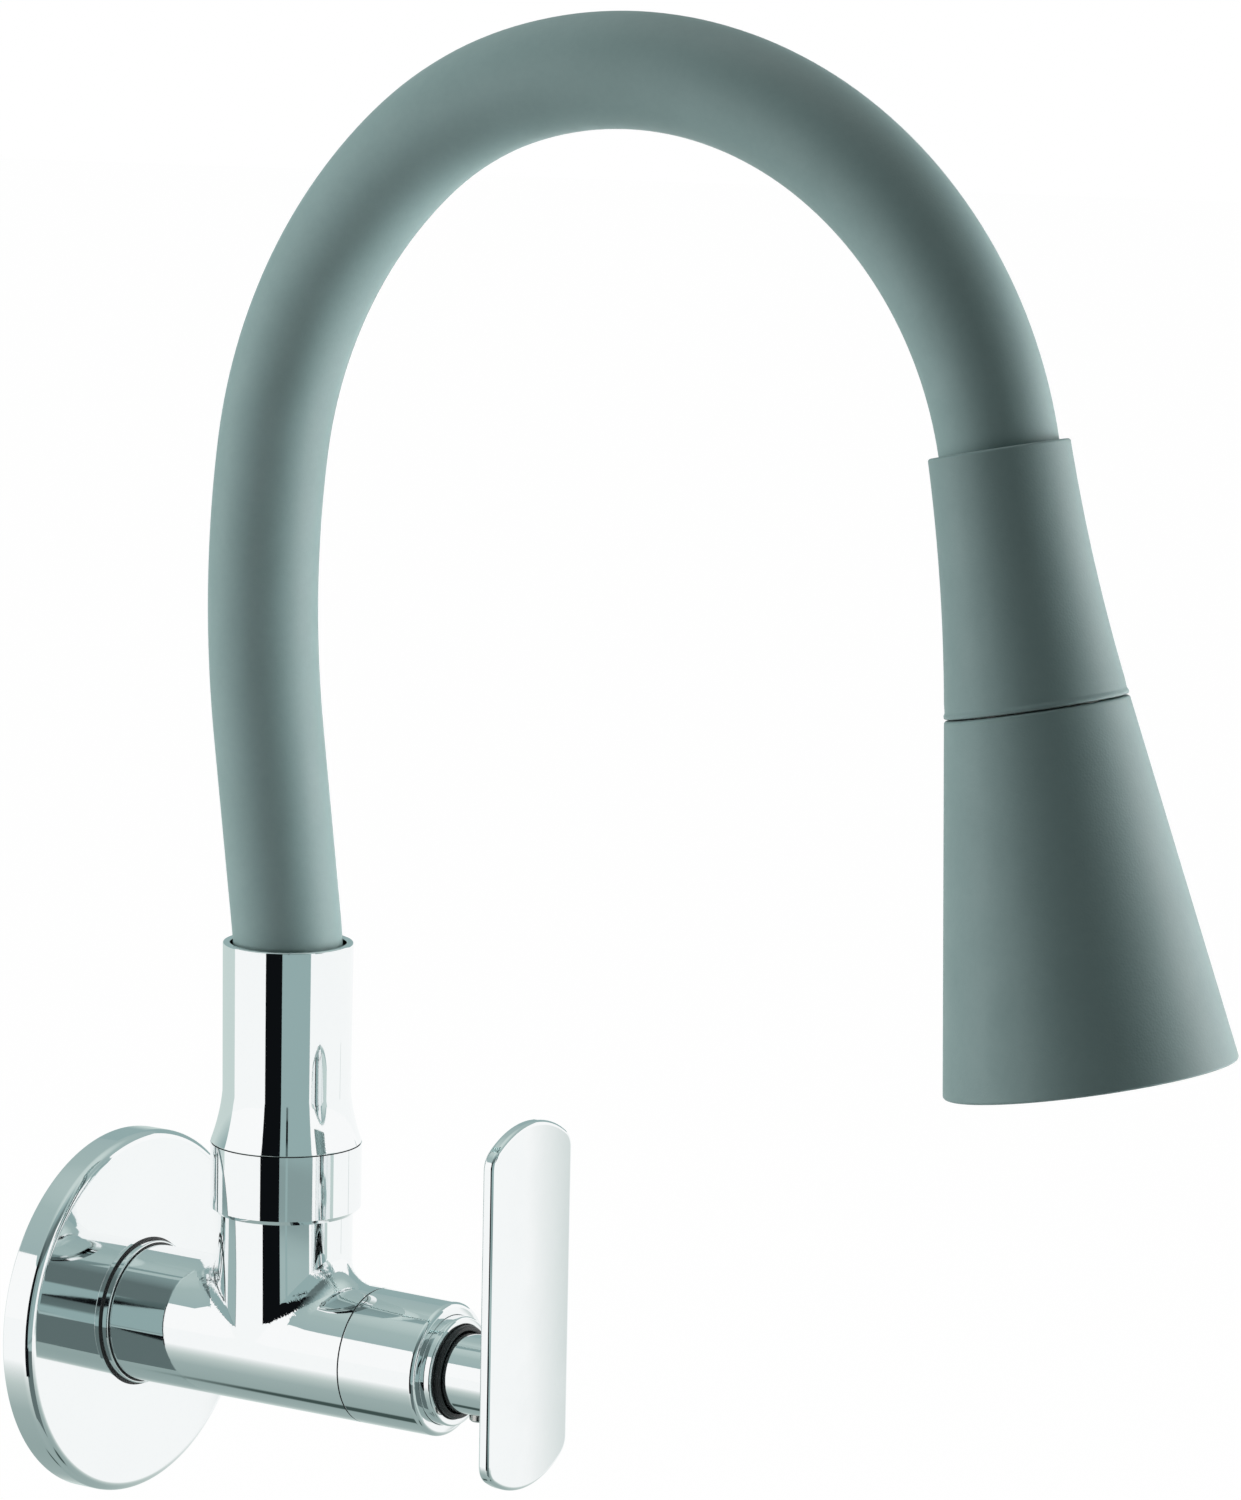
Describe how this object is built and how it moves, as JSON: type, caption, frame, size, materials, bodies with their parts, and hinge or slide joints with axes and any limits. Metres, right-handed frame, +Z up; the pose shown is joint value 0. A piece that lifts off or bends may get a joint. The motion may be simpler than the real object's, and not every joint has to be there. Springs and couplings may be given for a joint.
{
  "type": "flexible kitchen tap",
  "caption": "Wall-mounted single-lever sink tap with a chrome tee body, a bendable silicone-covered gooseneck and a conical twist spray head.",
  "frame": {"origin": "on the inlet axis, in the plane of the wall and of the flange's back rim", "axes": "+Y into the wall along the inlet, +Z up along the neck, the barrel along -Y, the spout in the plane X = 0 at rest"},
  "size_m": [0.0754, 0.2622, 0.3057],
  "materials": {
    "chrome": "polished chrome plate",
    "brass": "turned brass",
    "stainless_steel": "brushed stainless steel",
    "silicone": "matt grey silicone",
    "head_plastic": "matt grey soft-touch plastic",
    "black_plastic": "black moulded plastic",
    "seal_rubber": "black seal rubber",
    "disc_ceramic": "lapped ceramic",
    "inner_plastic": "white moulded plastic",
    "face_plastic": "grey moulded plastic",
    "nozzle_rubber": "soft grey nozzle rubber"
  },
  "bodies": {
    "base": {"wall_flange": "chrome", "flange_o_ring": "seal_rubber", "inlet_nipple": "brass", "inlet_washer": "seal_rubber", "tap_body": "chrome", "cartridge_housing": "brass", "housing_o_ring": "seal_rubber", "seat_seal": "seal_rubber", "fixed_disc": "disc_ceramic", "cartridge_cover": "chrome", "cover_nose_ring": "chrome", "spindle_bush": "black_plastic", "swivel_washer": "inner_plastic", "swivel_nut": "chrome"},
    "lever": {"lever_handle": "chrome", "handle_set_screw": "stainless_steel", "spindle": "brass", "spindle_o_rings": "seal_rubber", "spindle_clip": "stainless_steel", "moving_disc": "disc_ceramic"},
    "hose_foot": {"swivel_spigot": "brass", "spigot_o_rings": "seal_rubber", "hose_collar": "chrome", "lower_hose_ferrule": "stainless_steel", "silicone_sleeve_1": "silicone", "gooseneck_1": "stainless_steel", "water_tube_1": "inner_plastic"},
    "hose_rise": {"silicone_sleeve_2": "silicone", "gooseneck_2": "stainless_steel", "water_tube_2": "inner_plastic"},
    "hose_crown": {"silicone_sleeve_3": "silicone", "gooseneck_3": "stainless_steel", "water_tube_3": "inner_plastic"},
    "head": {"silicone_sleeve_4": "silicone", "gooseneck_4": "stainless_steel", "water_tube_4": "inner_plastic", "upper_hose_ferrule": "stainless_steel", "head_shell": "head_plastic", "head_connector": "brass", "diverter_core": "inner_plastic", "core_o_ring": "seal_rubber", "pivot_screw": "stainless_steel"},
    "cone": {"spray_cone": "head_plastic", "cone_rotor": "inner_plastic", "aerator_tube": "inner_plastic", "spray_feed_tube": "inner_plastic", "spray_chamber_lid": "inner_plastic", "nozzle_mat": "nozzle_rubber", "spray_face": "face_plastic", "aerator_housing": "inner_plastic", "aerator_screen": "stainless_steel"}
  },
  "joints": [
    {"name": "handle_turn", "type": "hinge", "parent": "base", "child": "lever", "pos_m": [0, -0.09, 0], "axis": [0, -1, 0], "range_deg": [0, 90]},
    {"name": "spout_swivel", "type": "hinge", "parent": "base", "child": "hose_foot", "pos_m": [0, -0.0427, 0.03], "axis": [0, 0, 1], "range_deg": [-90, 90]},
    {"name": "hose_bend_low", "type": "hinge", "parent": "hose_foot", "child": "hose_rise", "pos_m": [0, -0.03567, 0.1556], "axis": [-1, 0, 0], "range_deg": [-15, 30]},
    {"name": "hose_bend_mid", "type": "hinge", "parent": "hose_rise", "child": "hose_crown", "pos_m": [0, -0.08289, 0.24879], "axis": [-1, 0, 0], "range_deg": [-15, 30]},
    {"name": "hose_bend_high", "type": "hinge", "parent": "hose_crown", "child": "head", "pos_m": [0, -0.16954, 0.23908], "axis": [-1, 0, 0], "range_deg": [-15, 30]},
    {"name": "spray_twist", "type": "hinge", "parent": "head", "child": "cone", "pos_m": [0, -0.19911, 0.19072], "axis": [0, -0.1968, -0.9804], "range_deg": [0, 90]}
  ]
}
